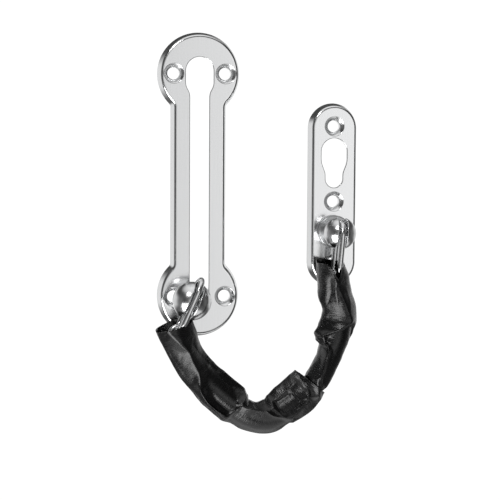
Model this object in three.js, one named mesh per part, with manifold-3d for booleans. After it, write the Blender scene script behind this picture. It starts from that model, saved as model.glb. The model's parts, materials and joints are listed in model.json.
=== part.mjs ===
// Door chain guard: a slotted slide plate with a captive ball knob, and an anchor plate with a ball
// stud, joined by a link chain in a leather sleeve. Millimetres, +Z up. The plates screw to the plane
// Y = 0 and face -Y; the origin is the centre of the slide plate's back.
import * as THREE from 'three';
import * as BufferGeometryUtils from 'three/addons/utils/BufferGeometryUtils.js';
import Module from 'manifold-3d';

const wasm = await Module();
wasm.setup();

// Both plates: pressed shells, open at the back.
const RISE = 4.6;             // front face above the mounting plane
const SHEET = 1.2;            // wall thickness
const FLARE = 1.1;            // how far the walls lean out from the face to the rim
const SCREW_HOLE = 4.8;       // diameter
const SCREW_HEAD = 7.9;       // diameter at the front face
const BOSS_RADIUS = 3.5;
const BOSS_BITE = 0.4;        // how far below the front face a boss starts

// Slide plate, dumbbell outline.
const SLIDE_END_Z = 43.8;
const SLIDE_END_RADIUS = 15.3;
const SLIDE_BAR_HALF = 10.0;
const SLIDE_FILLET = 3.4;
const SLIDE_SCREW_X = 10.25;
const SLIDE_SCREW_Z = 44.0;
const SLOT_HALF = 3.8;
const KEY_RADIUS = 5.5;
const KEY_Z = 45.0;           // centre of the entrance's round top
const KEY_STRAIGHT_Z = 39.2;  // where the entrance starts to narrow
const KEY_TAPER = 3.0;

// Anchor plate, stadium outline.
const ANCHOR_X = 54.5;
const ANCHOR_Z = -3.9;
const ANCHOR_END_Z = 26.75;
const ANCHOR_RADIUS = 8.95;
const ANCHOR_SCREWS = [27.6, -2.5, -27.6];
const PARK_KEY_RADIUS = 5.2;
const PARK_KEY_Z = 17.6;
const PARK_STRAIGHT_Z = 13.2;
const PARK_TAPER = 4.4;
const PARK_SLOT_HALF = 3.5;
const PARK_SLOT_Z = 6.6;      // centre of the slot's round bottom

// Chain plane, balls and rings.
const CHAIN_Y = -15.5;
const RING_LENGTH = 25.0;
const RING_WIDTH = 13.0;
const RING_WIRE = 2.5;
const CORE_RADIUS = 2.5;      // the pin left standing across each ball's groove
const GROOVE_HALF = 1.65;
const GROOVE_BACK = 6.8;      // how far behind the ball's centre the groove reaches
const NECK_RADIUS = 1.9;
const BALL_SIDES = 28;
const BALL_RINGS = 18;
const PIN_INSET = 2.5;        // the pin's ends stop this far inside the ball
const KNOB = { x: -4.4, z: -44.5, radius: 7.6, heading: -24 };
const KNOB_PIVOT = { x: -0.5, y: -1.6, radius: 2.7 };
const RING_DROP = 13.75;      // from the knob ball's centre to its ring's lower wire
const SHOE_RADIUS = 5.0;
const SHOE_BACK = 0.5;        // clear of the door
const SMALL_CHAMFER = 0.3;
const STUD = { x: 54.5, z: -18.4, radius: 6.4 };
const COLLAR_RADIUS = 6.5;
const COLLAR_HEIGHT = 2.0;
const COLLAR_CHAMFER = 0.8;
const WASHER_RADIUS = 4.0;
const WASHER_HEIGHT = 1.2;

// Turned shanks behind the balls: radius, distance behind the ball's centre.
const KNOB_SHANK = [[0, 4.6], [5.2, 5.2], [4.5, 7.4], [2.7, 9.4], [NECK_RADIUS, 10.4]];
const STUD_SHANK = [[0, 4.2], [4.6, 4.6], [4.5, 7.0], [3.2, 8.0], [NECK_RADIUS, 8.6]];
const RIVET_RADIUS = 2.9;     // the stud's upset end
const RIVET_HEIGHT = 1.1;
const BULB_ANGLES = [40, 65, 90, 115, 140];

// Inner chain.
const LINK_LENGTH = 13.3;
const LONG_LENGTH = 25.2;     // the pair of long links that take up the chain's slack
const LONG_LINKS = [6, 7];
const LINK_WIDTH = 8.6;
const LINK_WIRE = 2.1;
const LINK_COUNT = 11;
const PLAY = 0.3;             // gap kept between touching pieces

// The line that the links hang along, from the knob's ring to the anchor's ring: X, Z.
const ROUTE = [
  [-10.0, -57.1], [-6.4, -66.0], [-1.4, -73.2], [5.2, -79.8], [11.4, -85.2], [17.4, -89.4],
  [23.6, -91.2], [30.0, -89.6], [36.0, -85.8], [41.6, -81.2], [46.0, -75.6], [49.4, -69.4],
  [52.2, -62.8], [53.8, -56.0], [54.2, -49.0], [53.5, -42.4], [52.9, -36.7],
];

// Leather sleeve.
const SLEEVE_WALL = 1.0;
const SLEEVE_SIDES = 16;
const SLEEVE_STEPS = 34;
const SLEEVE_LEAD = 1.2;      // how far it reaches past the first link's pin
const SLEEVE_TAIL = 6.2;      // and past the last link's pin
const SLEEVE_HALF_WIDTH = 7.2;
const SLEEVE_HALF_DEPTH = 6.0;
const SLEEVE_MOUTH_DEPTH = 8.4;
const SLEEVE_NARROWING = 1.3; // how much narrower the anchor end is
const LEAD_MOUTH = 14;        // length over which each mouth opens out
const TAIL_MOUTH = 20;
const LEAD_OPENING = 0.6;     // how far the knob end opens, as a share of the anchor end

// Working sizes.
const PAST = 1;               // how far a cutting body reaches past what it cuts
const FAR = 200;              // larger than anything here
const ROUTE_DIVISIONS = 800;
const SEARCH_SPAN = 0.3;
const SEARCH_STEPS = 50;

const finish = (color, roughness, metalness) => (
  new THREE.MeshStandardMaterial({ color, roughness, metalness })
);
const satinChrome = finish(0xd6d7d8, 0.32, 1.0);
const chrome = finish(0xe4e5e6, 0.08, 1.0);
const zincPlate = finish(0xb9bcbf, 0.45, 1.0);
const leather = finish(0x17171a, 0.42, 0.0);

const radians = THREE.MathUtils.degToRad;

// ---- solids and booleans -------------------------------------------------------------------------

function solid(geometry) {
  const bare = geometry.clone();
  bare.deleteAttribute('normal');
  bare.deleteAttribute('uv');
  const merged = BufferGeometryUtils.mergeVertices(bare, 1e-4);
  return new wasm.Manifold(new wasm.Mesh({
    numProp: 3,
    vertProperties: new Float32Array(merged.attributes.position.array),
    triVerts: new Uint32Array(merged.index.array),
  }));
}

function geometry(body) {
  const mesh = body.getMesh();
  const made = new THREE.BufferGeometry();
  made.setAttribute('position', new THREE.BufferAttribute(new Float32Array(mesh.vertProperties), 3));
  made.setIndex(new THREE.BufferAttribute(new Uint32Array(mesh.triVerts), 1));
  made.computeVertexNormals();
  return made;
}

const union = (bodies) => bodies.reduce((whole, body) => whole.add(body));
const cutAll = (body, tools) => tools.reduce((whole, tool) => whole.subtract(tool), body);

// A shape drawn in X, Z, extruded from depth `front` to depth `back` along +Y.
function prism(shape, front, back, curveSegments = 7) {
  const depth = back - front;
  const made = new THREE.ExtrudeGeometry(shape, { depth, bevelEnabled: false, curveSegments });
  made.rotateX(Math.PI / 2);
  return made.translate(0, back, 0);
}

// A body of revolution about a line along Y through x, z. The profile lists [radius, y].
function turned(profile, x, z, sides = 24) {
  const points = profile.map(([radius, y]) => new THREE.Vector2(radius, y));
  return new THREE.LatheGeometry(points, sides).translate(x, 0, z);
}

// ---- plates --------------------------------------------------------------------------------------

// Two round ends joined by a bar, with a fillet in each corner. `grow` moves the whole outline out.
function dumbbell(grow) {
  const end = SLIDE_END_RADIUS + grow;
  const bar = SLIDE_BAR_HALF + grow;
  const fillet = SLIDE_FILLET - grow;
  const reach = Math.sqrt((end + fillet) ** 2 - (bar + fillet) ** 2);
  const turn = Math.atan2(reach, bar + fillet);
  const shape = new THREE.Shape();
  const corner = SLIDE_END_Z - reach;
  shape.absarc(0, SLIDE_END_Z, end, -turn, Math.PI + turn, false);
  shape.absarc(-bar - fillet, corner, fillet, turn, 0, true);
  shape.absarc(-bar - fillet, -corner, fillet, 0, -turn, true);
  shape.absarc(0, -SLIDE_END_Z, end, Math.PI - turn, turn, false);
  shape.absarc(bar + fillet, -corner, fillet, Math.PI + turn, Math.PI, true);
  shape.absarc(bar + fillet, corner, fillet, Math.PI, Math.PI - turn, true);
  shape.closePath();
  return shape;
}

function stadium(grow) {
  const radius = ANCHOR_RADIUS + grow;
  const shape = new THREE.Shape();
  shape.absarc(ANCHOR_X, ANCHOR_Z + ANCHOR_END_Z, radius, 0, Math.PI, false);
  shape.absarc(ANCHOR_X, ANCHOR_Z - ANCHOR_END_Z, radius, Math.PI, 2 * Math.PI, false);
  shape.closePath();
  return shape;
}

// A keyhole: a round-topped entrance that narrows into a slot with a round bottom.
function keyhole(x, key, keyZ, straightZ, taper, slot, slotZ) {
  const shape = new THREE.Shape();
  shape.absarc(x, keyZ, key, 0, Math.PI, false);
  shape.lineTo(x - key, straightZ);
  shape.lineTo(x - slot, straightZ - taper);
  shape.absarc(x, slotZ, slot, Math.PI, 2 * Math.PI, false);
  shape.lineTo(x + slot, straightZ - taper);
  shape.lineTo(x + key, straightZ);
  shape.closePath();
  return shape;
}

// The outside of a pressed plate: a face with a rounded shoulder and walls that flare to the rim.
function pressed(shape, height, flare, segments) {
  const made = new THREE.ExtrudeGeometry(shape, {
    depth: PAST, bevelThickness: height, bevelSize: flare, bevelSegments: segments, curveSegments: 9,
  });
  made.rotateX(Math.PI / 2);
  const body = solid(made.translate(0, PAST, 0));
  const behind = new THREE.BoxGeometry(2 * FAR, FAR, 2 * FAR).translate(0, FAR / 2, 0);
  return body.subtract(solid(behind));
}

// The boss behind a screw hole.
function boss(x, z) {
  const front = -RISE + BOSS_BITE;
  return solid(turned([[0, front], [BOSS_RADIUS, front], [BOSS_RADIUS, 0], [0, 0]], x, z));
}

// The cutting body for a countersunk hole.
function screwHole(x, z) {
  const hole = SCREW_HOLE / 2;
  const head = SCREW_HEAD / 2;
  const front = -RISE - PAST;
  const profile = [[0, front], [head + PAST, front], [hole, -RISE + head - hole], [hole, PAST], [0, PAST]];
  return solid(turned(profile, x, z));
}

function plate(outline, screws, opening, extraHoles) {
  const outside = pressed(outline(0), RISE, FLARE, 3);
  const inside = pressed(outline(-SHEET), RISE - SHEET, FLARE, 2);
  const withBosses = union([outside.subtract(inside), ...screws.map(([x, z]) => boss(x, z))]);
  const screwCuts = screws.map(([x, z]) => screwHole(x, z));
  const window = solid(prism(opening, -RISE - PAST, PAST));
  return geometry(cutAll(withBosses, [...screwCuts, window, ...extraHoles]));
}

function slidePlate() {
  const screws = [-1, 1].flatMap((sx) => [-1, 1].map((sz) => [sx * SLIDE_SCREW_X, sz * SLIDE_SCREW_Z]));
  const slot = keyhole(0, KEY_RADIUS, KEY_Z, KEY_STRAIGHT_Z, KEY_TAPER, SLOT_HALF, -SLIDE_END_Z);
  return plate(dumbbell, screws, slot, []);
}

function anchorPlate() {
  const screws = ANCHOR_SCREWS.map((z) => [ANCHOR_X, ANCHOR_Z + z]);
  const slot = keyhole(ANCHOR_X, PARK_KEY_RADIUS, ANCHOR_Z + PARK_KEY_Z, ANCHOR_Z + PARK_STRAIGHT_Z,
    PARK_TAPER, PARK_SLOT_HALF, ANCHOR_Z + PARK_SLOT_Z);
  const hole = NECK_RADIUS + PLAY;
  const front = -RISE - PAST;
  const studHole = solid(turned([[0, front], [hole, front], [hole, PAST], [0, PAST]], STUD.x, STUD.z));
  return plate(stadium, screws, slot, [studHole]);
}

// ---- knob, stud and their small parts ------------------------------------------------------------

// A ball on a neck, split by a groove that a ring lies in, with a pin left across the groove.
// The neck runs from the ball's centre at the origin towards `tail`, and `heading` turns the groove.
function groovedHead(radius, tail, profile, heading) {
  const shank = new THREE.LatheGeometry(profile.map(([r, y]) => new THREE.Vector2(r, y)), 24);
  const straightBack = new THREE.Vector3(0, 1, 0);
  shank.applyQuaternion(new THREE.Quaternion().setFromUnitVectors(straightBack, tail.clone().normalize()));
  const ball = new THREE.SphereGeometry(radius, BALL_SIDES, BALL_RINGS);
  const deep = 4 * radius;
  const groove = new THREE.BoxGeometry(2 * GROOVE_HALF, deep, deep).translate(0, GROOVE_BACK - deep / 2, 0);
  const pinLength = 2 * (radius - PIN_INSET);
  const pin = new THREE.CylinderGeometry(CORE_RADIUS, CORE_RADIUS, pinLength, 20).rotateZ(Math.PI / 2);
  const turn = radians(-heading);
  const split = solid(ball).add(solid(shank)).subtract(solid(groove.rotateY(turn)));
  return split.add(solid(pin.rotateY(turn)));
}

function knobHead() {
  const tail = new THREE.Vector3(KNOB_PIVOT.x - KNOB.x, KNOB_PIVOT.y - CHAIN_Y, 0);
  const length = tail.length();
  const neckEnd = length - Math.sqrt(KNOB_PIVOT.radius ** 2 - NECK_RADIUS ** 2);
  const bulb = BULB_ANGLES.map((angle) => [
    KNOB_PIVOT.radius * Math.sin(radians(angle)),
    length - KNOB_PIVOT.radius * Math.cos(radians(angle)),
  ]).filter(([, y]) => y > neckEnd);
  const profile = [...KNOB_SHANK, [NECK_RADIUS, neckEnd], ...bulb, [0, length + KNOB_PIVOT.radius]];
  const head = groovedHead(KNOB.radius, tail, profile, KNOB.heading);
  const doorSide = -CHAIN_Y - BOSS_BITE;
  const behind = new THREE.BoxGeometry(FAR, FAR, FAR).translate(0, doorSide + FAR / 2, 0);
  return geometry(head.subtract(solid(behind)));
}

function studHead(heading) {
  const back = -CHAIN_Y - SHOE_BACK;
  const upset = back - RIVET_HEIGHT;
  const profile = [...STUD_SHANK, [NECK_RADIUS, upset], [RIVET_RADIUS, upset],
    [RIVET_RADIUS - SMALL_CHAMFER, back], [0, back]];
  return geometry(groovedHead(STUD.radius, new THREE.Vector3(0, 1, 0), profile, heading));
}

function shoe() {
  const front = -RISE + SHEET + PLAY;
  const rim = SHOE_RADIUS - SMALL_CHAMFER;
  const disc = solid(turned([[0, front], [rim, front], [SHOE_RADIUS, front + SMALL_CHAMFER],
    [SHOE_RADIUS, -SHOE_BACK - SMALL_CHAMFER], [rim, -SHOE_BACK], [0, -SHOE_BACK]], 0, 0));
  const socket = new THREE.SphereGeometry(KNOB_PIVOT.radius + PLAY, BALL_SIDES, BALL_RINGS);
  return geometry(disc.subtract(solid(socket.translate(0, KNOB_PIVOT.y, 0))));
}

// A flat ring about Y between two radii, with a small chamfer on its front outer edge.
function washer(inner, outer, front, back, chamfer) {
  return turned([[inner, front], [outer - chamfer, front], [outer, front + chamfer], [outer, back],
    [inner, back], [inner, front]], 0, 0);
}

// ---- rings and links -----------------------------------------------------------------------------

// An oval of round wire about the origin, long along Z, lying in the X, Z plane.
function oval(length, width, wire, arcs, sides) {
  const stretch = (length - width) / 2;
  const made = new THREE.TorusGeometry((width - wire) / 2, wire / 2, sides, arcs);
  made.rotateZ(Math.PI / arcs);
  made.rotateX(Math.PI / 2);
  const position = made.attributes.position;
  for (let i = 0; i < position.count; i += 1) {
    position.setZ(i, position.getZ(i) + Math.sign(position.getZ(i)) * stretch);
  }
  made.computeVertexNormals();
  return made;
}

const RING_SIDES = 10;
const LINK_SIDES = 8;
const ARC_STEPS = 22;

function edgeRing() {
  return oval(RING_LENGTH, RING_WIDTH, RING_WIRE, ARC_STEPS, RING_SIDES).rotateZ(Math.PI / 2);
}

function edgeLink(length) {
  return oval(length, LINK_WIDTH, LINK_WIRE, ARC_STEPS, LINK_SIDES)
    .rotateZ(Math.PI / 2).translate(0, 0, -(length - LINK_WIRE) / 2);
}

function flatLink(length, pin) {
  return oval(length, LINK_WIDTH, LINK_WIRE, ARC_STEPS, LINK_SIDES)
    .translate(0, 0, pin / 2 + PLAY + LINK_WIRE - length / 2);
}

const linkLength = (i) => (LONG_LINKS.includes(i) ? LONG_LENGTH : LINK_LENGTH);

// ---- the route -----------------------------------------------------------------------------------

const routePoints = ROUTE.map(([x, z]) => new THREE.Vector3(x, CHAIN_Y, z));
const route = new THREE.CatmullRomCurve3(routePoints, false, 'centripetal');
route.arcLengthDivisions = ROUTE_DIVISIONS;

// The next point along the route at a straight distance from `from`.
function nextPin(from, startAt, distance) {
  let low = startAt;
  let high = Math.min(1, startAt + SEARCH_SPAN);
  for (let i = 0; i < SEARCH_STEPS; i += 1) {
    const middle = (low + high) / 2;
    if (route.getPointAt(middle).distanceTo(from) < distance) {
      low = middle;
    } else {
      high = middle;
    }
  }
  return low;
}

// Pins run from the knob ring's lower wire to the anchor ring's lower wire. Odd links lie flat, so
// their two pins are the wires of the neighbours that stand edge-on.
function layChain() {
  const pins = [route.getPointAt(0)];
  let at = 0;
  for (let i = 0; i < LINK_COUNT; i += 1) {
    const flat = i % 2 === 0;
    const wires = (i === 0 ? RING_WIRE : LINK_WIRE) + (i === LINK_COUNT - 1 ? RING_WIRE : LINK_WIRE);
    const pitch = linkLength(i) - (flat ? 2 * LINK_WIRE + 2 * PLAY + wires / 2 : LINK_WIRE);
    const last = pins[pins.length - 1];
    const next = nextPin(last, at, pitch);
    at = next;
    const direction = route.getPointAt(next).sub(last).setLength(pitch);
    pins.push(last.clone().add(direction));
  }
  return pins;
}

// Turn about Y that points a piece's -Z from one pin to the next.
const turnTowards = (from, to) => -Math.atan2(to.x - from.x, from.z - to.z);

// ---- sleeve --------------------------------------------------------------------------------------

// A tube of oval section, drawn straight and then bent along the route. It opens out in depth at both
// mouths, where the wide rings enter.
function sleeve() {
  const total = route.getLength() + SLEEVE_LEAD + SLEEVE_TAIL;
  const section = new THREE.Shape();
  section.absarc(0, 0, 1, 0, 2 * Math.PI, false);
  const bore = new THREE.Path();
  bore.absarc(0, 0, 0.5, 0, 2 * Math.PI, true);
  section.holes.push(bore);
  const made = new THREE.ExtrudeGeometry(section, {
    depth: total, steps: SLEEVE_STEPS, bevelEnabled: false, curveSegments: SLEEVE_SIDES / 2,
  });
  const position = made.attributes.position;
  const up = new THREE.Vector3(0, 1, 0);
  for (let i = 0; i < position.count; i += 1) {
    const along = position.getZ(i);
    const angle = Math.atan2(position.getY(i), position.getX(i));
    const skin = Math.hypot(position.getX(i), position.getY(i)) > 0.75 ? 0 : SLEEVE_WALL;
    const lead = Math.max(0, 1 - along / LEAD_MOUTH);
    const tail = Math.max(0, 1 - (total - along) / TAIL_MOUTH);
    const mouth = THREE.MathUtils.smoothstep(Math.max(lead * LEAD_OPENING, tail), 0, 1);
    const depth = THREE.MathUtils.lerp(SLEEVE_HALF_DEPTH, SLEEVE_MOUTH_DEPTH, mouth) - skin;
    const width = SLEEVE_HALF_WIDTH - SLEEVE_NARROWING * THREE.MathUtils.smoothstep(tail, 0, 1) - skin;
    const on = THREE.MathUtils.clamp((along - SLEEVE_LEAD) / route.getLength(), 0, 1);
    const tangent = route.getTangentAt(on);
    const past = along - SLEEVE_LEAD - on * route.getLength();
    const side = new THREE.Vector3().crossVectors(up, tangent);
    const point = route.getPointAt(on).addScaledVector(tangent, past)
      .addScaledVector(side, width * Math.cos(angle)).addScaledVector(up, depth * Math.sin(angle));
    position.setXYZ(i, point.x, point.y, point.z);
  }
  made.computeVertexNormals();
  return made;
}

// ---- assembly ------------------------------------------------------------------------------------

function named(name, shape, material, parent, place = {}) {
  const mesh = new THREE.Mesh(shape, material);
  mesh.name = name;
  mesh.position.set(place.x ?? 0, place.y ?? 0, place.z ?? 0);
  mesh.rotation.y = place.turn ?? 0;
  parent.add(mesh);
  return mesh;
}

const guard = new THREE.Group();
const pins = layChain();
const studCentre = new THREE.Vector3(STUD.x, CHAIN_Y, STUD.z);
const lastPin = pins[LINK_COUNT];
const anchorTurn = turnTowards(lastPin, studCentre);

const fixed = new THREE.Group();
guard.add(fixed);
named('slide_plate', slidePlate(), satinChrome, fixed);
named('anchor_plate', anchorPlate(), satinChrome, fixed);
const collarBack = -RISE - PLAY;
const collarFront = collarBack - COLLAR_HEIGHT;
const collar = washer(NECK_RADIUS + PLAY, COLLAR_RADIUS, collarFront, collarBack, COLLAR_CHAMFER);
named('stud_collar', collar, satinChrome, fixed, { x: STUD.x, z: STUD.z });

const slider = new THREE.Group();
slider.position.set(KNOB_PIVOT.x, 0, KNOB.z);
guard.add(slider);
named('slider_shoe', shoe(), zincPlate, slider);

const knob = new THREE.Group();
guard.add(knob);
named('knob_head', knobHead(), chrome, knob, { x: KNOB.x, y: CHAIN_Y, z: KNOB.z });
const knobRing = edgeRing().translate(0, 0, (RING_LENGTH - RING_WIRE) / 2 - RING_DROP);
named('knob_ring', knobRing, chrome, knob,
  { x: KNOB.x, y: CHAIN_Y, z: KNOB.z, turn: radians(-KNOB.heading) });

const chain = new THREE.Group();
guard.add(chain);
for (let i = 0; i < LINK_COUNT; i += 1) {
  const from = pins[i];
  const length = linkLength(i);
  const shape = i % 2 === 0 ? flatLink(length, i === 0 ? RING_WIRE : LINK_WIRE) : edgeLink(length);
  const name = `chain_link_${String(i + 1).padStart(2, '0')}`;
  const turn = turnTowards(from, pins[i + 1]);
  named(name, shape, chrome, chain, { x: from.x, y: from.y, z: from.z, turn });
}
named('anchor_ring', edgeRing().translate(0, 0, -(RING_LENGTH - RING_WIRE) / 2), chrome, chain,
  { x: lastPin.x, y: lastPin.y, z: lastPin.z, turn: anchorTurn });

const stud = new THREE.Group();
stud.position.copy(studCentre);
guard.add(stud);
named('stud_head', studHead(THREE.MathUtils.radToDeg(-anchorTurn)), chrome, stud);
const washerFront = -RISE + SHEET + PLAY;
const backWasher = washer(NECK_RADIUS + PLAY, WASHER_RADIUS, washerFront, washerFront + WASHER_HEIGHT,
  SMALL_CHAMFER);
named('stud_washer', backWasher, zincPlate, stud, { y: -CHAIN_Y });

named('leather_sleeve', sleeve(), leather, guard);

export default guard;
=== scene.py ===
"""Door chain guard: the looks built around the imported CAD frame. Metres, +Z up, the plates face -Y."""

import json
import math

import bmesh
import bpy
import numpy as np
from mathutils import Matrix, Vector, noise

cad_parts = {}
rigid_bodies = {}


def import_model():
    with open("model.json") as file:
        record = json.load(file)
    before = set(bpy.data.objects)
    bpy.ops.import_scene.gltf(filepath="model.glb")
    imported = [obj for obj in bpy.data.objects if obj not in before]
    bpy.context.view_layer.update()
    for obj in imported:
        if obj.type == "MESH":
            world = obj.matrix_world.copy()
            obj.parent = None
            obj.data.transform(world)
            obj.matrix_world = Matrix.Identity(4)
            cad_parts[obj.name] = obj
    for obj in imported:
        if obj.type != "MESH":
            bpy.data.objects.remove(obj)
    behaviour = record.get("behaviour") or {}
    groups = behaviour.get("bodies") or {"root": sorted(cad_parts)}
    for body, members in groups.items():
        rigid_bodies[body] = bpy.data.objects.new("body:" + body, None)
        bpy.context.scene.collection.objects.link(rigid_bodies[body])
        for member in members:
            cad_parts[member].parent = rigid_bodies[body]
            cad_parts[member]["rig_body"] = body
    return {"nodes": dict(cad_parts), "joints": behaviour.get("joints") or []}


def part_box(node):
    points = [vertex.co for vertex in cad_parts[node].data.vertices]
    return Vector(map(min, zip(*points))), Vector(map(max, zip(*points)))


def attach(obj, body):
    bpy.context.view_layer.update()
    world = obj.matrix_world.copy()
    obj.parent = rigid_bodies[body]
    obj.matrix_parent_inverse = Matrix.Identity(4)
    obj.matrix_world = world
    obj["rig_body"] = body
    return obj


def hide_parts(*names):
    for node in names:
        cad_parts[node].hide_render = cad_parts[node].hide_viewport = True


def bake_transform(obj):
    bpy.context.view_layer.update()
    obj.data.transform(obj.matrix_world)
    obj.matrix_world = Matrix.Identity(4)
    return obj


MM = 0.001
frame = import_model()
NODES = frame["nodes"]
PIVOTS = {joint["name"]: Vector([c / MM for c in joint["pos_m"]])
          for joint in frame["joints"] if "pos_m" in joint}
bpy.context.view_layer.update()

# Driving places, in millimetres, as in the CAD source.
CHAIN_Y = -15.5        # the plane that the chain and the middles of both balls lie in
SLIDE_END_Z = 43.8     # the centres of the slide plate's round ends, above and below its middle
ANCHOR_X = 54.5        # the anchor plate's middle line
STUD_Z = -18.4         # the stud's height on the anchor plate


# ---- camera, lights and floor --------------------------------------------------------------------

def make_camera(place, yaw, pitch, roll, lens):
    """A camera at `place`. Yaw turns it to the right, pitch down, and roll about its own axis."""
    data = bpy.data.cameras.new("camera")
    data.lens = lens
    data.sensor_width = 36
    data.clip_start = 0.01
    camera = bpy.data.objects.new("camera", data)
    bpy.context.scene.collection.objects.link(camera)
    yaw, pitch, roll = (math.radians(a) for a in (yaw, pitch, roll))
    ahead = Vector((math.sin(yaw) * math.cos(pitch), math.cos(yaw) * math.cos(pitch), -math.sin(pitch)))
    level = Vector((math.cos(yaw), -math.sin(yaw), 0))
    above = level.cross(ahead)
    right = math.cos(roll) * level + math.sin(roll) * above
    up = math.cos(roll) * above - math.sin(roll) * level
    turn = Matrix((right, up, -ahead)).transposed()
    camera.matrix_world = Matrix.Translation(place) @ turn.to_4x4()
    bpy.context.scene.camera = camera


def area_light(name, place, aim, width, height, power):
    data = bpy.data.lights.new(name, "AREA")
    data.shape = "RECTANGLE"
    data.size = width
    data.size_y = height
    data.energy = power
    light = bpy.data.objects.new(name, data)
    bpy.context.scene.collection.objects.link(light)
    light.location = place
    light.rotation_euler = (Vector(aim) - Vector(place)).to_track_quat("-Z", "Y").to_euler()


class Graph:
    """Adds and links shader nodes in one line each."""

    def __init__(self, tree):
        self.tree = tree
        tree.nodes.clear()

    def add(self, kind, values=None, **settings):
        node = self.tree.nodes.new(kind)
        for key, value in settings.items():
            setattr(node, key, value)
        for key, value in (values or {}).items():
            if isinstance(value, bpy.types.NodeSocket):
                self.tree.links.new(value, node.inputs[key])
            else:
                node.inputs[key].default_value = value
        return node

    def math(self, operation, a, b=0.0, clamp=False):
        return self.add("ShaderNodeMath", {0: a, 1: b}, operation=operation, use_clamp=clamp).outputs[0]

    def ramp(self, factor, stops):
        node = self.add("ShaderNodeValToRGB", {"Fac": factor})
        elements = node.color_ramp.elements
        while len(elements) < len(stops):
            elements.new(0.5)
        for element, (position, value) in zip(elements, stops):
            element.position = position
            element.color = (*value, 1) if isinstance(value, tuple) else (value, value, value, 1)
        return node.outputs["Color"]


# The studio round the object: brightness by compass direction, from straight behind the camera (0)
# to straight behind the object (1), on each side. Mirror surfaces show it; the camera sees white.
LEFT_ROOM = [
    (0.0, 0.50), (0.06, 0.42), (0.13, 0.30), (0.18, 0.02), (0.32, 0.03), (0.40, 0.10),
    (0.52, 0.13), (0.66, 0.6), (1.0, 0.8),
]
RIGHT_ROOM = [
    (0.0, 0.50), (0.037, 0.63), (0.078, 0.84), (0.14, 0.92), (0.19, 0.02), (0.32, 0.03),
    (0.40, 0.10), (0.52, 0.13), (0.66, 0.6), (1.0, 0.8),
]
# Its ceiling and floor: brightness by height, from straight below (0) to straight above (1), and how
# much of it shows in place of the walls.
HEIGHT_ROOM = [
    (0.0, 0.75), (0.10, 0.7), (0.17, 0.10), (0.34, 0.06), (0.64, 0.06), (0.84, 0.04), (0.92, 0.5),
    (1.0, 0.8),
]
HEIGHT_SHARE = [(0.0, 1.0), (0.28, 1.0), (0.38, 0.0), (0.60, 0.0), (0.70, 1.0), (1.0, 1.0)]


def make_world():
    world = bpy.data.worlds.new("studio")
    bpy.context.scene.world = world
    world.use_nodes = True
    g = Graph(world.node_tree)
    direction = g.add("ShaderNodeTexCoord").outputs["Generated"]
    axes = g.add("ShaderNodeSeparateXYZ", {0: direction}).outputs
    turn = g.math("ARCTAN2", axes[0], g.math("MULTIPLY", axes[1], -1.0))
    away = g.math("DIVIDE", g.math("ABSOLUTE", turn), math.pi)
    left = g.ramp(away, LEFT_ROOM)
    right = g.ramp(away, RIGHT_ROOM)
    side = g.math("GREATER_THAN", turn, 0.0)
    room = g.add("ShaderNodeMix", {0: side, 6: left, 7: right}, data_type="RGBA").outputs[2]
    height = g.add("ShaderNodeMath", {0: axes[2], 1: 0.5, 2: 0.5}, operation="MULTIPLY_ADD").outputs[0]
    share = g.ramp(height, HEIGHT_SHARE)
    level = g.ramp(height, HEIGHT_ROOM)
    seen = g.add("ShaderNodeMix", {0: share, 6: room, 7: level}, data_type="RGBA").outputs[2]
    camera_ray = g.add("ShaderNodeLightPath").outputs["Is Camera Ray"]
    lit = g.add("ShaderNodeBackground", {"Color": seen, "Strength": 1.3}).outputs[0]
    plain = g.add("ShaderNodeBackground", {"Color": (1, 1, 1, 1), "Strength": 1.05}).outputs[0]
    both = g.add("ShaderNodeMixShader", {0: camera_ray, 1: lit, 2: plain}).outputs[0]
    g.add("ShaderNodeOutputWorld", {"Surface": both})


def make_floor():
    """A round sheet of pale paper well below the object, with a glow that keeps it plain."""
    radius = 1.6
    floor_z = -0.55
    bm = bmesh.new()
    bmesh.ops.create_circle(bm, cap_ends=True, segments=96, radius=radius)
    mesh = bpy.data.meshes.new("floor")
    bm.to_mesh(mesh)
    bm.free()
    floor = bpy.data.objects.new("floor", mesh)
    bpy.context.scene.collection.objects.link(floor)
    floor.location = (0.02, 0.0, floor_z)
    material = bpy.data.materials.new("floor_paper")
    material.use_nodes = True
    g = Graph(material.node_tree)
    speck = g.add("ShaderNodeTexNoise", {"Scale": 60.0, "Detail": 4.0}).outputs["Fac"]
    paper = g.ramp(speck, [(0.0, 0.90), (1.0, 0.94)])
    shade = g.add("ShaderNodeBsdfDiffuse", {"Color": paper}).outputs[0]
    glow = g.add("ShaderNodeEmission", {"Color": (1, 1, 1, 1), "Strength": 0.62}).outputs[0]
    both = g.add("ShaderNodeAddShader", {0: shade, 1: glow}).outputs[0]
    g.add("ShaderNodeOutputMaterial", {"Surface": both})
    mesh.materials.append(material)
    floor.visible_glossy = False


# ---- materials -----------------------------------------------------------------------------------

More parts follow.
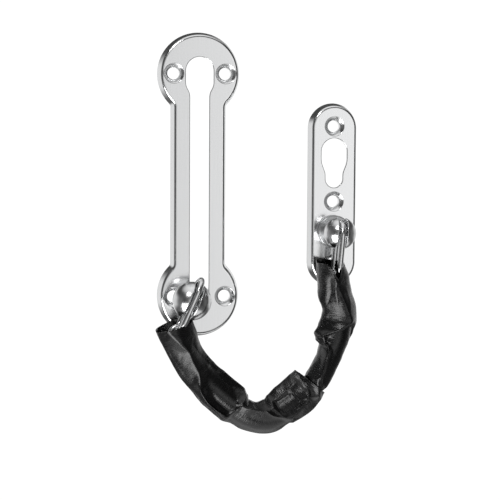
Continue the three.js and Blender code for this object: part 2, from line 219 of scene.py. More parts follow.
def metal(name, colour, rough, rough_spread, grain, streak, bump):
    """Plated metal: roughness varies in soft patches, with fine streaks along one axis."""
    material = bpy.data.materials.new(name)
    material.use_nodes = True
    g = Graph(material.node_tree)
    place = g.add("ShaderNodeTexCoord").outputs["Object"]
    stretched = g.add("ShaderNodeMapping", {"Vector": place, "Scale": grain}).outputs[0]
    lines = g.add("ShaderNodeTexNoise", {"Vector": stretched, "Scale": 1.0, "Detail": 5.0})
    lines = lines.outputs["Fac"]
    patches = g.add("ShaderNodeTexNoise", {"Vector": place, "Scale": 90.0, "Detail": 3.0})
    patches = g.math("MULTIPLY", patches.outputs["Fac"], 1.0 - streak)
    mixed = g.math("ADD", g.math("MULTIPLY", lines, streak), patches)
    spread = g.add("ShaderNodeMapRange", {
        "Value": mixed, "From Min": 0.3, "From Max": 0.7,
        "To Min": rough - rough_spread, "To Max": rough + rough_spread,
    }).outputs[0]
    tint = g.ramp(mixed, [(0.3, tuple(c * 0.95 for c in colour)), (0.7, colour)])
    relief = g.add("ShaderNodeBump", {"Strength": bump, "Distance": 0.00002, "Height": lines}).outputs[0]
    shader = g.add("ShaderNodeBsdfPrincipled", {
        "Base Color": tint, "Metallic": 1.0, "Roughness": spread, "Normal": relief,
    }).outputs[0]
    g.add("ShaderNodeOutputMaterial", {"Surface": shader})
    return material


def leather_material():
    """Black semi-gloss leather: short cross wrinkles over a pebbled grain. The point attribute
    "hide" holds each point's place on the sleeve as it was before it was bent, in millimetres."""
    material = bpy.data.materials.new("black_leather")
    material.use_nodes = True
    g = Graph(material.node_tree)
    hide = g.add("ShaderNodeAttribute", attribute_name="hide").outputs["Vector"]
    cross = g.add("ShaderNodeMapping", {"Vector": hide, "Scale": (2.3, 0.62, 0.62)}).outputs[0]
    cells = g.add("ShaderNodeTexVoronoi", {"Vector": cross, "Scale": 1.0, "Randomness": 1.0},
                  feature="SMOOTH_F1").outputs["Distance"]
    fine = g.add("ShaderNodeTexNoise", {
        "Vector": hide, "Scale": 3.2, "Detail": 5.0, "Roughness": 0.62,
    }).outputs["Fac"]
    broad = g.add("ShaderNodeTexNoise", {"Vector": hide, "Scale": 0.14, "Detail": 2.0}).outputs["Fac"]
    colour = g.ramp(fine, [(0.25, (0.0012, 0.0012, 0.0013)), (0.75, (0.004, 0.004, 0.0042))])
    gloss = g.math("ADD", g.math("MULTIPLY", cells, 0.20), g.math("MULTIPLY", broad, 0.22))
    rough = g.math("ADD", gloss, 0.07, clamp=True)
    height = g.math("ADD", g.math("MULTIPLY", cells, -0.9), g.math("MULTIPLY", fine, 0.7))
    relief = g.add("ShaderNodeBump", {"Strength": 0.32, "Distance": 0.00022, "Height": height})
    shader = g.add("ShaderNodeBsdfPrincipled", {
        "Base Color": colour, "Roughness": rough, "Normal": relief.outputs[0],
        "IOR": 1.5, "Specular IOR Level": 0.5,
    }).outputs[0]
    g.add("ShaderNodeOutputMaterial", {"Surface": shader})
    return material


# ---- mesh helpers --------------------------------------------------------------------------------

def piece(name, vertices, faces, material, sharp=32.0):
    """A shown object from points in millimetres. Edges bent by more than `sharp` degrees stay crisp."""
    bm = bmesh.new()
    made = [bm.verts.new([c * MM for c in v]) for v in vertices]
    for face in faces:
        bm.faces.new([made[i] for i in face])
    return finish_piece(name, bm, material, sharp)


def finish_piece(name, bm, material, sharp=32.0):
    """A shown object from a built mesh, with its faces turned outwards."""
    bmesh.ops.recalc_face_normals(bm, faces=bm.faces)
    mesh = bpy.data.meshes.new(name)
    bm.to_mesh(mesh)
    bm.free()
    mesh.shade_smooth()
    mesh.set_sharp_from_angle(angle=math.radians(sharp))
    mesh.materials.append(material)
    obj = bpy.data.objects.new(name, mesh)
    bpy.context.scene.collection.objects.link(obj)
    return obj


def stand_for(obj, node):
    """The piece shows in place of a CAD node, on that node's body."""
    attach(obj, NODES[node]["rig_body"])
    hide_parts(node)


def arc(x, z, radius, start, end, steps):
    """Points on an arc from one angle to the other, the last left out."""
    return [(x + radius * math.cos(start + (end - start) * i / steps),
             z + radius * math.sin(start + (end - start) * i / steps)) for i in range(steps)]


def bridge(faces, a, b, count):
    """Quads between two closed loops that start at vertex numbers a and b."""
    for i in range(count):
        j = (i + 1) % count
        faces.append((a + i, a + j, b + j, b + i))


def lathe(name, profile, place, material, tail=(0, 1, 0), sides=72, sharp=32.0):
    """A body turned about the line through `place` along `tail`. The profile lists (radius, along)."""
    turn = Vector((0, 0, 1)).rotation_difference(Vector(tail))
    vertices = []
    faces = []
    rows = []
    for radius, along in profile:
        if radius < 1e-6:
            rows.append((len(vertices), 1))
            vertices.append(Vector(place) + turn @ Vector((0, 0, along)))
            continue
        rows.append((len(vertices), sides))
        for i in range(sides):
            angle = 2 * math.pi * i / sides
            spoke = Vector((radius * math.cos(angle), radius * math.sin(angle), along))
            vertices.append(Vector(place) + turn @ spoke)
    closed = profile[0][0] > 1e-6
    pairs = list(zip(rows, rows[1:] + rows[:1] if closed else rows[1:]))
    for (a, count_a), (b, count_b) in pairs:
        for i in range(sides):
            j = (i + 1) % sides
            ring = [a + i % count_a, a + j % count_a, b + j % count_b, b + i % count_b]
            corners = list(dict.fromkeys(ring))
            if len(corners) > 2:
                faces.append(corners)
    return piece(name, vertices, faces, material, sharp)


def rounded(points, radius, steps=5):
    """A profile whose inner corners are replaced by small arcs."""
    out = [points[0]]
    for before, corner, after in zip(points, points[1:], points[2:]):
        c = Vector(corner)
        a = Vector(before) - c
        b = Vector(after) - c
        bite = min(radius, a.length * 0.45, b.length * 0.45)
        start = c + a.normalized() * bite
        end = c + b.normalized() * bite
        for i in range(steps + 1):
            t = i / steps
            out.append(tuple(start * (1 - t) ** 2 + c * 2 * t * (1 - t) + end * t ** 2))
    return out + [points[-1]]


# ---- plates --------------------------------------------------------------------------------------

RISE = 4.6             # from the wall to a plate's face
SHEET = 1.2            # the metal's thickness
FLARE = 1.1            # how much wider a plate is at the wall than the outline functions say
HOLE = 2.4             # the radius of a screw hole, of its countersink and of the boss behind it
HEAD = 3.95
BOSS = 3.5
SHOULDER = 1.15        # the radius between a plate's face and its side

END_RADIUS = 15.3      # the slide plate: its round ends, half its bar and the fillet between them
BAR_HALF = 10.0
CORNER = 3.4
ANCHOR_HALF = 8.95     # the anchor plate: half its width and the centres of its round ends
ANCHOR_TOP_Z = 22.85
ANCHOR_FOOT_Z = -30.65


def dumbbell(grow):
    """The slide plate's outline: two round ends joined by a bar, with a fillet in each corner."""
    end = END_RADIUS + grow
    bar = BAR_HALF + grow
    fillet = CORNER - grow
    reach = math.sqrt((end + fillet) ** 2 - (bar + fillet) ** 2)
    turn = math.atan2(reach, bar + fillet)
    corner = SLIDE_END_Z - reach
    return (arc(0, SLIDE_END_Z, end, -turn, math.pi + turn, 72)
            + arc(-bar - fillet, corner, fillet, turn, 0, 14)
            + arc(-bar - fillet, -corner, fillet, 0, -turn, 14)
            + arc(0, -SLIDE_END_Z, end, math.pi - turn, 2 * math.pi + turn, 72)
            + arc(bar + fillet, -corner, fillet, math.pi + turn, math.pi, 14)
            + arc(bar + fillet, corner, fillet, math.pi, math.pi - turn, 14))


def stadium(grow):
    """The anchor plate's outline: a bar with round ends."""
    radius = ANCHOR_HALF + grow
    return (arc(ANCHOR_X, ANCHOR_TOP_Z, radius, 0, math.pi, 56)
            + arc(ANCHOR_X, ANCHOR_FOOT_Z, radius, math.pi, 2 * math.pi, 56))


def keyhole(x, key, key_z, straight_z, taper, slot, slot_z):
    """A round-topped entrance that narrows into a slot, with its corners eased, as a loop by growth."""
    ease = 1.6

    def loop(grow):
        k = key + grow
        s = slot + grow
        points = arc(x, key_z, k, 0, math.pi, 40)
        left = [(x - k, key_z), (x - k, straight_z), (x - s, straight_z - taper), (x - s, slot_z)]
        eased = rounded(left, ease, 6)[:-1]
        points += eased
        points += arc(x, slot_z, s, math.pi, 2 * math.pi, 40)
        points += [(2 * x - px, pz) for px, pz in reversed(eased)][:-1] + [(x + k, key_z - 0.001)]
        return points
    return loop


def shell(name, node, outline, screws, openings, studs, material):
    """A pressed plate, open at the back: rounded shoulder, flared wall, rolled rim, eased holes with
    countersinks at the screws, and a boss behind each screw hole."""
    bm = bmesh.new()

    def loop(points, y):
        return [bm.verts.new((x * MM, y * MM, z * MM)) for x, z in points]

    def wall(rows):
        for a, b in zip(rows, rows[1:]):
            for i in range(len(a)):
                j = (i + 1) % len(a)
                bm.faces.new((a[i], a[j], b[j], b[i]))

    def plane(loops):
        edges = []
        for row in loops:
            for i in range(len(row)):
                edge = bm.edges.get((row[i], row[i - 1])) or bm.edges.new((row[i], row[i - 1]))
                edges.append(edge)
        bmesh.ops.triangle_fill(bm, use_beauty=True, use_dissolve=False, edges=edges)

    tilt = math.radians(76)
    drop = SHOULDER * (1 - math.cos(tilt))
    base = FLARE - (RISE - drop) / math.tan(tilt) - SHOULDER * math.sin(tilt)
    outer = []
    for i in range(11):
        a = tilt * i / 10
        grow = base + SHOULDER * math.sin(a)
        outer.append(loop(outline(grow), -RISE + SHOULDER * (1 - math.cos(a))))
    # round the rim at the wall and back up the inside
    for grow, y in ((FLARE - 0.07, -0.3), (FLARE, -0.12), (FLARE - 0.12, 0.0), (FLARE - 0.85, 0.0),
                    (FLARE - SHEET, -0.2), (-0.45, -1.9), (-0.8, -2.9), (-1.5, -RISE + SHEET)):
        outer.append(loop(outline(grow), y))
    wall(outer)
    front = [outer[0]]
    under = [outer[-1]]
    for x, z in screws:
        profile = rounded([(HEAD + 0.35, -RISE), (HEAD, -RISE), (HOLE, -RISE + HEAD - HOLE),
                           (HOLE, -0.15), (HOLE + 0.2, 0.0)], 0.22, 4)
        profile += [(BOSS - 0.2, 0.0), (BOSS, -0.2), (BOSS, -RISE + SHEET)]
        rows = [loop(arc(x, z, r, 0, 2 * math.pi, 48), y) for r, y in profile]
        wall(rows)
        front.append(rows[0])
        under.append(rows[-1])
    for opening in openings:
        lip = ((0.28, -RISE), (0.12, -RISE + 0.04), (0.03, -RISE + 0.12), (0.0, -RISE + 0.28),
               (0.0, -RISE + SHEET))
        rows = [loop(opening(grow), y) for grow, y in lip]
        wall(rows)
        front.append(rows[0])
        under.append(rows[-1])
    for x, z, r in studs:
        rows = [loop(arc(x, z, r, 0, 2 * math.pi, 32), y) for y in (-RISE, -RISE + SHEET)]
        wall(rows)
        front.append(rows[0])
        under.append(rows[-1])
    plane(front)
    plane(under)
    obj = finish_piece(name, bm, material, 40.0)
    for face in obj.data.polygons:
        face.use_smooth = abs(face.normal.y) < 0.9999
    stand_for(obj, node)


# ---- balls, rings and links ----------------------------------------------------------------------

def fuse(name, parts, material, sharp=35.0):
    """One closed body from several that overlap."""
    whole = parts[0]
    for other in parts[1:]:
        joined = whole.modifiers.new("join", "BOOLEAN")
        joined.operation = "UNION"
        joined.solver = "EXACT"
        joined.object = other
        bpy.context.view_layer.update()
        solved = whole.evaluated_get(bpy.context.evaluated_depsgraph_get())
        shape = bpy.data.meshes.new_from_object(solved)
        whole.modifiers.clear()
        whole.data = shape
    for other in parts[1:]:
        bpy.data.objects.remove(other)
    whole.name = name
    whole.data.shade_smooth()
    whole.data.set_sharp_from_angle(angle=math.radians(sharp))
    whole.data.materials.clear()
    whole.data.materials.append(material)
    return whole


def grooved_ball(name, node, centre, radius, tail, shank, heading, material):
    """A ball split by a groove with a pin left across it, on a turned shank. `heading` is the angle
    of the groove from upright, in degrees."""
    half_groove = 1.65
    lip = 0.45
    lip_angle = 0.045
    edge = math.asin(half_groove / radius)
    # one side of the ball: the groove's flat wall, a rounded lip and the dome
    cap = [(0, half_groove), (radius * math.cos(edge) - lip, half_groove)]
    cap += [(radius * math.cos(a), radius * math.sin(a))
            for a in np.linspace(edge + lip_angle, math.pi / 2, 30)]
    cap[-1] = (0, radius)
    cap = cap[:1] + rounded(cap[:4], 0.3, 4)[1:] + cap[4:]
    angle = math.radians(heading)
    across = Vector((math.cos(angle), 0, math.sin(angle)))
    left = lathe("cap_a", cap, centre, material, tail=across)
    right = lathe("cap_b", cap, centre, material, tail=-across)
    pin_radius = 2.5
    pin_inset = 2.5
    pin_end = radius - pin_inset
    rod = [(0, -pin_end), (pin_radius, -pin_end), (pin_radius, pin_end), (0, pin_end)]
    pin = lathe("pin", rod, centre, material, tail=across, sides=48)
    neck = lathe("neck", shank, centre, material, tail=tail)
    ball = fuse(name, [left, pin, right, neck], material)
    stand_for(ball, node)


def fine_oval(node, wire, material, arcs=30, sides=24):
    """A smooth oval of round wire where the CAD node's coarse one is."""
    points = np.array([v.co[:] for v in NODES[node].data.vertices]) / MM
    middle = points.mean(0)
    _, axes = np.linalg.eigh(np.cov((points - middle).T))
    long_axis, wide_axis, thin_axis = axes[:, 2], axes[:, 1], axes[:, 0]
    length = np.ptp((points - middle) @ long_axis)
    width = np.ptp((points - middle) @ wide_axis)
    bend = (width - wire) / 2
    stretch = (length - width) / 2
    path = []
    for end in (1, -1):
        for i in range(arcs + 1):
            a = math.pi * i / arcs
            out = (end * bend * math.cos(a), end * bend * math.sin(a))
            path.append((out[0], out[1] + end * stretch, out))
        # along the straight side
        for i in (1, 2, 3):
            path.append((-end * bend, end * stretch * (1 - i / 2), (-end * bend, 0)))
    vertices = []
    for x, z, out in path:
        size = math.hypot(*out)
        for i in range(sides):
            a = 2 * math.pi * i / sides
            r = wire / 2 * math.cos(a)
            flat = (x + out[0] / size * r) * wide_axis + (z + out[1] / size * r) * long_axis
            vertices.append(middle + flat + wire / 2 * math.sin(a) * thin_axis)
    faces = []
    for i in range(len(path)):
        bridge(faces, i * sides, (i + 1) % len(path) * sides, sides)
    ring = piece(node + "_wire", vertices, faces, material)
    stand_for(ring, node)


# ---- leather sleeve ------------------------------------------------------------------------------

# The sleeve's centre line, from its mouth at the knob to its mouth at the stud: X, Z.
LINE = [
    (-10.9, -54.6), (-9.6, -58.0), (-6.2, -66.0), (-1.4, -73.2), (5.2, -79.8), (11.2, -85.0), (17.2, -89.2),
    (23.6, -91.0), (30.0, -89.4), (36.0, -85.6), (41.4, -81.2), (45.8, -75.8), (49.2, -69.6), (52.0, -62.8),
    (53.8, -56.0), (54.2, -49.0), (53.3, -42.4), (52.2, -36.7), (51.0, -30.6),
]
# Half widths by length along it, towards the inside and the outside of the bend.
LEFT_INSIDE = [(0, 7.2), (12, 6.6), (22, 7.4), (30, 7.9), (38.5, 8.0), (42, 6.6), (43.3, 5.3), (47, 5.4),
               (54, 7.0), (57.5, 8.2), (64, 9.4), (72, 9.9), (77, 9.2)]
LEFT_OUTSIDE = [(0, 7.6), (12, 6.9), (22, 6.9), (31, 7.7), (39, 7.9), (43, 6.3), (47, 6.6), (56, 6.8),
                (60.5, 6.1), (62, 7.0), (70, 7.3), (74, 6.9), (77, 6.2)]
RIGHT_INSIDE = [(68, 5.2), (82, 4.7), (88, 4.7), (92.6, 5.2), (94.2, 7.4), (97.2, 8.8), (101, 7.9),
                (106, 7.0), (109, 6.5), (115, 7.3), (121, 6.5), (127, 5.4)]
RIGHT_OUTSIDE = [(68, 4.9), (80, 5.3), (92, 5.2), (97, 5.5), (101, 6.6), (104.5, 7.5), (109, 7.2),
                 (115, 6.2), (121, 6.1), (127, 5.2)]
# How far the front and the back stand from the chain's plane, by length.
DEPTH_FRONT = [(0, 8.3), (12, 7.6), (24, 7.4), (38, 7.0), (50, 7.2), (60, 7.0), (72, 7.2), (84, 6.9),
               (96, 7.2), (106, 7.4), (116, 8.0), (127, 8.4)]
DEPTH_BACK = [(0, 8.0), (12, 6.6), (30, 6.0), (60, 5.6), (96, 5.6), (110, 6.8), (118, 8.0), (127, 8.3)]
# How much the front is bent into two flat sides instead of round, by length.
FACET = [(0, 0.4), (10, 0.7), (24, 0.8), (60, 0.75), (80, 0.85), (96, 0.7), (112, 0.55), (127, 0.3)]
WALL = 0.9         # the leather's thickness
AROUND = 132       # points in a ring, and millimetres between rings
PITCH = 0.38
SPLIT = 77.0       # where the left half of the sleeve ends, over the right half
TUCK = 8.5         # how far the right half reaches inside the left one
INSET = 0.625      # how much smaller the right half is where it is inside the left one
CLOSING = 1.6      # how much smaller still its hidden end is
LINK_DEPTH = 5.7   # the room kept for the links: half its depth and half its width
LINK_HALF = 5.6
FOLD_HEIGHT = 1.4  # how strongly the fold lines and their laps show
FOLD_LAP = 1.3


def smooth(t):
    t = np.clip(t, 0, 1)
    return t * t * (3 - 2 * t)


class Line:
    """The sleeve's centre line by length along it, from a natural spline through LINE."""

    def __init__(self):
        rows = np.array(LINE)
        gaps = np.linalg.norm(np.diff(rows, axis=0), axis=1)
        self.at = np.concatenate([[0], np.cumsum(gaps)])
        self.rows = rows
        self.length = self.at[-1]
        count = len(rows)
        system = np.zeros((count, count))
        target = np.zeros((count, rows.shape[1]))
        system[0, 0] = system[-1, -1] = 1
        for i in range(1, count - 1):
            a, b = gaps[i - 1], gaps[i]
            system[i, i - 1:i + 2] = a, 2 * (a + b), b
            target[i] = 6 * ((rows[i + 1] - rows[i]) / b - (rows[i] - rows[i - 1]) / a)
        self.curve = np.linalg.solve(system, target)

    def __call__(self, s):
        """Centre X, Z and the unit normal towards the inside of the bend."""
        s = np.asarray(s, float)
        inside = np.clip(s, 0, self.length)
        i = np.clip(np.searchsorted(self.at, inside, side="right") - 1, 0, len(self.at) - 2)
        gap = (self.at[i + 1] - self.at[i])[:, None]
        a = (self.at[i + 1] - inside)[:, None] / gap
        b = 1 - a
        p, q, m, n = self.rows[i], self.rows[i + 1], self.curve[i], self.curve[i + 1]
        value = a * p + b * q + ((a ** 3 - a) * m + (b ** 3 - b) * n) * gap ** 2 / 6
        slope = (q - p) / gap + ((1 - 3 * a ** 2) * m + (3 * b ** 2 - 1) * n) * gap / 6
        tangent = slope / np.linalg.norm(slope, axis=1)[:, None]
        normal = np.stack([-tangent[:, 1], tangent[:, 0]], 1)
        centre = value + tangent * (s - inside)[:, None]
        return centre, normal


def by_length(s, stops):
    """A value that runs smoothly between (length, value) stops."""
    at, value = zip(*stops)
    i = np.clip(np.searchsorted(at, s, side="right") - 1, 0, len(at) - 2)
    at, value = np.array(at), np.array(value)
    t = smooth((s - at[i]) / (at[i + 1] - at[i]))
    return value[i] * (1 - t) + value[i + 1] * t


def crease(s, v, points, height, width, skew=0.0):
    """A fold line over the front through (length along, millimetres across) points. Positive height
    is a ridge and negative a valley. `skew` lifts or sinks one side of it, as where a fold laps over."""
    lap_edge = 0.3     # how sharply a lap starts, and how far it runs out
    lap_reach = 4.5
    least = 0.12       # what is left of a fold line at its ends
    best = np.full(s.shape, 1e9)
    side = np.zeros(s.shape)
    fade = np.zeros(s.shape)
    total = sum(math.dist(a, b) for a, b in zip(points, points[1:]))
    run = 0.0
    for a, b in zip(points, points[1:]):
        ds = b[0] - a[0]
        dv = b[1] - a[1]
        size = math.hypot(ds, dv)
        t = np.clip(((s - a[0]) * ds + (v - a[1]) * dv) / size ** 2, 0, 1)
        away = np.hypot(s - a[0] - t * ds, v - a[1] - t * dv)
        cross = ((s - a[0]) * dv - (v - a[1]) * ds) / size
        nearer = away < best
        best = np.where(nearer, away, best)
        side = np.where(nearer, cross, side)
        share = (run + t * size) / total
        fade = np.where(nearer, np.clip(6.4 * share * (1 - share), least, 1), fade)
        run += size
    ridge = height * np.exp(-best / width)
    if skew:
        lap = 0.5 + 0.5 * np.tanh(side / lap_edge)
        ridge = ridge + skew * lap * np.exp(-best / lap_reach)
    return ridge * fade


# Where the front's highest line runs across the sleeve, from its outside edge (-1) to its inside (1).
CROWN = [
    (0, -0.47), (5, -0.1), (10, 0.11), (19, -0.03), (25, -0.55), (31, -0.75), (38.5, -0.8), (41.5, 0.3),
    (47, 0.6), (57, 0.45), (61, -0.35), (66, -0.3), (72, -0.12), (74.5, -0.45), (80, 0.2), (92, 0.55),
    (96.5, 0.65), (101, 0.0), (105, -0.5), (110, -0.2), (118, 0.1), (127, 0.1),
]

# Fold lines on the front face: points, height, width and lap.
FOLDS = [
    ([(0.5, -4.4), (5, -1.6), (10.3, 0.8), (18.9, 0.0), (25.0, -3.6)], 0.55, 1.5, 0.0),
    ([(6, 3.4), (13, 4.2), (20, 5.2), (28, 6.4)], -0.30, 1.2, 0.0),
    ([(3, -6.5), (12, -5.0), (20, -4.6)], -0.28, 1.6, 0.0),
    ([(22.5, -2.6), (25.5, -4.6), (29.5, -5.6), (34.0, -5.8), (39.5, -4.6)], 0.6, 0.6, 1.1),
    ([(27.0, -1.2), (32.0, -2.6), (37.5, -2.0), (40.5, 0.4)], -1.15, 1.9, 0.0),
    ([(39.5, 8.6), (41.2, 5.4), (40.6, 2.6), (38.6, 0.2)], 0.5, 0.7, 1.7),
    ([(40.6, 1.6), (46.9, 3.6), (53.0, 3.6), (60.6, -2.1)], 0.8, 0.6, 0.5),
    ([(42.5, 4.6), (49.0, 6.0), (56.0, 6.2)], -0.55, 1.1, 0.0),
    ([(41.0, -3.4), (48.0, -4.3), (57.0, -4.0)], 0.30, 1.8, 0.0),
    ([(60.4, -6.6), (61.8, -3.8), (66.5, -2.3), (71.4, -0.9), (75.0, 1.6)], 0.9, 0.6, -1.3),
    ([(58.5, 1.2), (63.5, 3.4), (68.5, 3.6)], -0.95, 2.0, 0.0),
    ([(56.5, 6.3), (62.0, 5.9), (68.0, 6.3), (73.4, 6.6)], 0.35, 0.8, 0.0),
    ([(75.5, -4.4), (80.4, 0.4), (86.0, 1.4), (92.0, 2.4), (96.5, 5.4)], 0.62, 0.85, 0.0),
    ([(78.0, 3.2), (84.0, 3.6), (90.0, 4.0)], -0.35, 0.9, 0.0),
    ([(84.0, -3.4), (91.0, -2.2), (98.0, -1.6)], -0.35, 1.3, 0.0),
    ([(94.6, 8.0), (97.4, 5.8), (101.3, 0.0), (105.2, -5.8)], 0.7, 0.6, -1.7),
    ([(93.4, 7.0), (94.2, 4.4), (97.4, 2.4)], -1.35, 1.0, 0.0),
    ([(103.0, 4.0), (107.5, 3.4), (112.0, 4.2)], -0.45, 1.4, 0.0),
    ([(106.0, -3.2), (112.0, -3.9), (118.0, -3.0)], 0.35, 1.7, 0.0),
    ([(125.5, 1.2), (121.5, 1.0), (116.0, 1.9), (110.0, 1.6)], 0.42, 0.7, 0.0),
    ([(123.0, 2.6), (117.0, 3.4), (111.0, 5.2)], -0.35, 1.2, 0.0),
]


def relief(s, c, d, seed, strength):
    """Soft unevenness of the hide, as millimetres of height."""
    out = np.empty(s.shape)
    for index in np.ndindex(s.shape):
        where = Vector((s[index] * 0.16 + seed, c[index] * 1.3, d[index] * 1.3 + seed))
        finer = Vector((s[index] * 0.5 - seed, c[index] * 3.4, d[index] * 3.4))
        out[index] = noise.noise(where) + 0.32 * noise.noise(finer)
    return out * strength


def cut_rims(line, s, c, front):
    """Where along the line each point lies. The rims are not cut square: the front dips in a notch at
    the far mouth, and the back stands further out than the front at both."""
    mouth = 9.0
    near = np.clip(1 - s / mouth, 0, 1)
    far = np.clip(1 - (line.length - s) / mouth, 0, 1)
    notch = np.where(front, -5.4 * np.exp(-((c + 0.06) / 0.34) ** 2), 1.4) + 1.6 * c
    return s - near * np.where(front, 0.2 - 0.5 * c, 1.6) + far * notch


def sleeve_depth(s, c, d, front):
    """How far the skin stands from the chain's plane. The front leans towards two flat sides that meet
    at the crown, and the back is a flattened round."""
    facet = by_length(s, FACET)
    crown = by_length(s, CROWN)
    tent = np.where(c < crown, (1 + c) / (1 + crown), (1 - c) / (1 - crown))
    tent = 1.2 * np.clip(1 - np.sqrt((1 - tent) ** 2 + 0.05), 0, 1)
    rise_front = (1 - facet) * np.abs(d) ** 0.85 + facet * tent ** 0.9
    rise_back = 0.8 * np.abs(d) ** 0.85 + 0.2 * (1 - np.abs(c))
    return np.where(front, by_length(s, DEPTH_FRONT) * rise_front, by_length(s, DEPTH_BACK) * rise_back)


def sleeve_skin(line, lengths, widths):
    """The outer skin: one ring of points for each length, which starts at the outside of the bend and
    runs over the front. Returns the points, and their places on the unbent hide."""
    angle = 2 * np.pi * np.arange(AROUND) / AROUND
    s = np.repeat(np.asarray(lengths)[:, None], AROUND, 1)
    c = -np.cos(angle)[None, :].repeat(len(lengths), 0)
    d = np.sin(angle)[None, :].repeat(len(lengths), 0)
    front = d > 0
    reach = cut_rims(line, s, c, front)
    inside, outside = widths
    half = np.where(c > 0, by_length(s, inside), by_length(s, outside))
    centre, normal = line(reach.ravel())
    depth = sleeve_depth(s, c, d, front)
    across = c * half
    lift = np.zeros(s.shape)
    for points, height, width, lap in FOLDS:
        lift += crease(s, across, points, FOLD_HEIGHT * height, width, FOLD_LAP * lap)
    # the folds die out at the sides, and the back has long soft wrinkles instead
    open_room = smooth((1 - np.abs(c)) / 0.16)
    wrinkles = -0.45 * np.sin(s * 0.55 + 2.2 * c)
    lift = np.where(front, lift, wrinkles) * open_room
    bumps = relief(s, c, d, seed=3.7, strength=0.28)
    out = normal.reshape(*s.shape, 2)
    middle = centre.reshape(*s.shape, 2)
    side = across + bumps * c
    # the hide never sinks into the links that run through it
    links = LINK_DEPTH * np.sqrt(np.clip(1 - (across / np.minimum(LINK_HALF, half)) ** 2, 0, 1))
    height = depth + lift + bumps * np.abs(d)
    height = (height + links + np.sqrt((height - links) ** 2 + 0.3 * (1 - np.abs(c)))) / 2
    x = middle[..., 0] + out[..., 0] * side
    y = CHAIN_Y - np.where(front, height, -height)
    z = middle[..., 1] + out[..., 1] * side
    points = np.stack([x, y, z], -1)
    hide = np.stack([reach, 7.0 * c, 7.0 * d], -1)
    return points, hide


def ring_normals(points):
    """Outward unit normals of the skin, from each point's neighbours."""
    along = np.gradient(points, axis=0)
    around = np.roll(points, -1, 1) - np.roll(points, 1, 1)
    n = np.cross(along, around)
    return n / np.maximum(np.linalg.norm(n, axis=2), 1e-9)[..., None]


def sleeve_piece(name, outer, inner, normals, hide, material):
    """One closed length of sleeve from the rings of its outer and inner skins."""
    rows = len(outer)
    count = rows * AROUND
    faces = []
    for r in range(rows - 1):
        bridge(faces, (r + 1) * AROUND, r * AROUND, AROUND)
        bridge(faces, count + r * AROUND, count + (r + 1) * AROUND, AROUND)
    bridge(faces, 0, count, AROUND)
    bridge(faces, count + (rows - 1) * AROUND, (rows - 1) * AROUND, AROUND)
    mesh = bpy.data.meshes.new(name)
    skins = np.concatenate([outer.reshape(-1, 3), inner.reshape(-1, 3)])
    mesh.from_pydata((skins * MM).tolist(), [], faces)
    mesh.update()
    mesh.shade_smooth()
    out = normals.reshape(-1, 3)
    mesh.normals_split_custom_set_from_vertices(np.concatenate([out, -out]).tolist())
    place = mesh.attributes.new("hide", "FLOAT_VECTOR", "POINT")
    flat = hide.reshape(-1, 3)
    lining = flat * (1, 0.87, 0.87)
    place.data.foreach_set("vector", np.concatenate([flat, lining]).ravel().astype(np.float32))
    mesh.materials.append(material)
    obj = bpy.data.objects.new(name, mesh)
    bpy.context.scene.collection.objects.link(obj)
    return obj


def sleeve_half(line, start, end, cuts, widths, name, material):
    """A length of sleeve, cut between bodies. Each piece is closed, and neighbours share their rims
    and their normals, so the cuts don't show. `cuts` are the lengths between pieces. A half that
    starts further along than 0 is tucked into the other one."""
    marks = [start, *cuts, end]
    lengths = []
    starts = [0]
    for a, b in zip(marks, marks[1:]):
        steps = max(4, int(round((b - a) / PITCH)))
        lengths += list(np.linspace(a, b, steps, endpoint=False))
        starts.append(len(lengths))
    lengths = np.array(lengths + [end])
    points, hide = sleeve_skin(line, lengths, widths)
    normals = ring_normals(points)
    if start > 0:
        tucked = 1 - smooth((lengths - SPLIT + 1.0) / 3.5)
        closing = CLOSING * (1 - smooth((lengths - start) / 3.0))
        points = points - normals * ((INSET + closing) * tucked)[:, None, None]
        normals = ring_normals(points)
    inner = points - normals * WALL
    for k, (a, b) in enumerate(zip(starts, starts[1:])):
        rings = slice(a, b + 1)
        obj = sleeve_piece(f"{name}_{k + 1}", points[rings], inner[rings], normals[rings], hide[rings],
                           material)
        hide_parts("leather_sleeve")
        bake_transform(obj)


def link_centre(body):
    """The middle of a link body's own link, or of the anchor's ring."""
    low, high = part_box("anchor_ring" if body == "stud" else "chain_" + body)
    return (low + high) / 2


def make_sleeve(material):
    """The sleeve in two halves, because the chain's loop is opened between links 07 and 08."""
    line = Line()
    steps = np.linspace(0, line.length, 1200)
    track = line(steps)[0]

    def length_at(body):
        middle = link_centre(body) / MM
        return float(steps[np.hypot(track[:, 0] - middle.x, track[:, 1] - middle.z).argmin()])

    left = [f"link_{i:02d}" for i in range(1, 8)]
    sleeve_half(line, 0.0, SPLIT, [length_at(b) for b in left[1:-1]],
                (LEFT_INSIDE, LEFT_OUTSIDE), "sleeve_left", material)
    right = [f"link_{i:02d}" for i in range(8, 12)]
    sleeve_half(line, SPLIT - TUCK, line.length, [length_at(b) for b in right[1:]],
                (RIGHT_INSIDE, RIGHT_OUTSIDE), "sleeve_right", material)


# ---- sub-parts -----------------------------------------------------------------------------------

def make_plates(material):
    """The slide plate with its keyhole slot, and the anchor plate where the knob can be parked."""
    slot = keyhole(0, key=5.5, key_z=45.0, straight_z=39.2, taper=3.0, slot=3.8, slot_z=-SLIDE_END_Z)
    screws = [(x, z) for x in (-10.25, 10.25) for z in (44.0, -44.0)]
    shell("slide_plate_shell", "slide_plate", dumbbell, screws, [slot], [], material)
    park = keyhole(ANCHOR_X, key=5.2, key_z=13.7, straight_z=9.3, taper=4.4, slot=3.5, slot_z=2.7)
    screws = [(ANCHOR_X, z) for z in (23.7, -6.4, -31.5)]
    stud_hole = (ANCHOR_X, STUD_Z, 2.2)
    shell("anchor_plate_shell", "anchor_plate", stadium, screws, [park], [stud_hole], material)


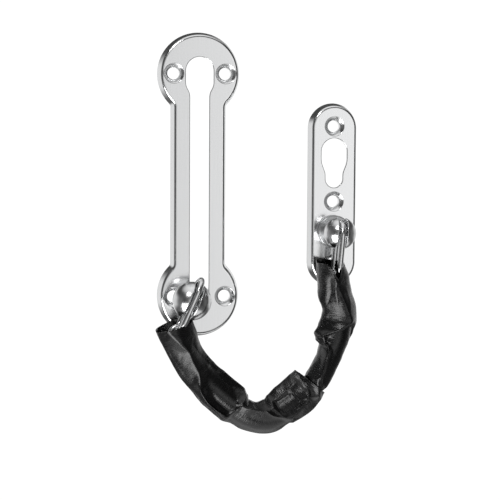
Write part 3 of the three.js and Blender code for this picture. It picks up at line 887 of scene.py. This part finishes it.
def make_knob(material):
    """The ball that slides, on a slanted neck that ends in a bulb cut flat short of the wall."""
    place = (-4.4, CHAIN_Y, -44.5)
    radius = 7.6
    groove_heading = -24
    tail = Vector((3.9, 13.9, 0.0))
    neck = 1.9
    bulb_radius = 2.7
    bulb = [(bulb_radius * math.sin(a), tail.length - bulb_radius * math.cos(a))
            for a in np.linspace(0.80, 1.743, 10)]
    root = [(0, 4.6), (5.2, 5.2), (4.5, 7.4), (2.7, 9.4), (neck, 10.4), (neck, bulb[0][1] - 0.1), bulb[1]]
    shank = rounded(root, 0.5, 4)[:-1] + bulb[1:] + [(0, bulb[-1][1])]
    grooved_ball("knob_ball", "knob_head", place, radius, tail, shank, groove_heading, material)


def make_stud(material):
    """The fixed ball, on a straight stem. Its groove points at the far end of its ring."""
    place = (ANCHOR_X, CHAIN_Y, STUD_Z)
    radius = 6.4
    tail = Vector((0, 1, 0))
    shank = rounded([(0, 4.2), (4.6, 4.6), (4.5, 7.0), (3.2, 8.0), (1.9, 8.6), (1.9, 13.9), (2.9, 13.9),
                     (2.6, 15.0), (0, 15.0)], 0.3, 4)
    ring = PIVOTS["link_11_swing"] - Vector(place)
    heading = math.degrees(math.atan2(ring.x, -ring.z))
    grooved_ball("stud_ball", "stud_head", place, radius, tail, shank, heading, material)


def make_collar(material):
    """The flat ring on the anchor plate, under the stud's ball."""
    back_y = -4.9
    bore = 2.2
    rim = 6.5
    top = -2.0
    section = rounded([(bore, -0.02), (bore, top), (rim, top), (rim, 0.0), (bore, 0.0)], 0.5, 5)[1:-1]
    collar = lathe("stud_collar_ring", section, (ANCHOR_X, back_y, STUD_Z), material)
    stand_for(collar, "stud_collar")


def make_chain(ring_material, link_material):
    """The two large rings and the links inside the sleeve."""
    ring_wire = 2.5
    link_wire = 2.1
    for node in ("knob_ring", "anchor_ring"):
        fine_oval(node, ring_wire, ring_material)
    for i in range(1, 12):
        fine_oval(f"chain_link_{i:02d}", link_wire, link_material, arcs=20, sides=16)


def dress_hidden(material):
    """The shoe and the washer behind the plates keep their CAD shapes."""
    for node in ("slider_shoe", "stud_washer"):
        mesh = NODES[node].data
        mesh.materials.clear()
        mesh.materials.append(material)
        mesh.shade_smooth()
        mesh.set_sharp_from_angle(angle=math.radians(30))


# ---- assembly ------------------------------------------------------------------------------------

make_camera(place=(-0.0867, -0.5927, 0.0214), yaw=10.32, pitch=4.5, roll=0.35, lens=108.34)
make_world()
make_floor()
area_light("key", place=(-0.35, -0.55, 0.60), aim=(0.02, 0, -0.03), width=0.24, height=0.24, power=2.0)
area_light("low", place=(-0.30, -0.30, -0.34), aim=(0.01, 0, -0.06), width=0.42, height=0.42, power=3.0)
bpy.context.scene.view_settings.view_transform = "Standard"

satin = metal("satin_chrome", (0.80, 0.805, 0.81), rough=0.17, rough_spread=0.03,
              grain=(2600, 900, 60), streak=0.6, bump=0.35)
bright = metal("bright_chrome", (0.74, 0.745, 0.75), rough=0.22, rough_spread=0.03,
               grain=(400, 400, 400), streak=0.3, bump=0.10)
turned = metal("turned_chrome", (0.46, 0.465, 0.47), rough=0.30, rough_spread=0.05,
               grain=(300, 5200, 300), streak=0.7, bump=0.6)
steel = metal("link_steel", (0.70, 0.705, 0.71), rough=0.22, rough_spread=0.05,
              grain=(900, 900, 900), streak=0.4, bump=0.3)
zinc = metal("dull_zinc", (0.62, 0.63, 0.65), rough=0.42, rough_spread=0.08,
             grain=(1500, 1500, 1500), streak=0.4, bump=0.5)
leather = leather_material()

make_plates(satin)
make_knob(bright)
make_stud(bright)
make_collar(turned)
make_chain(bright, steel)
dress_hidden(zinc)
make_sleeve(leather)

bpy.context.view_layer.update()
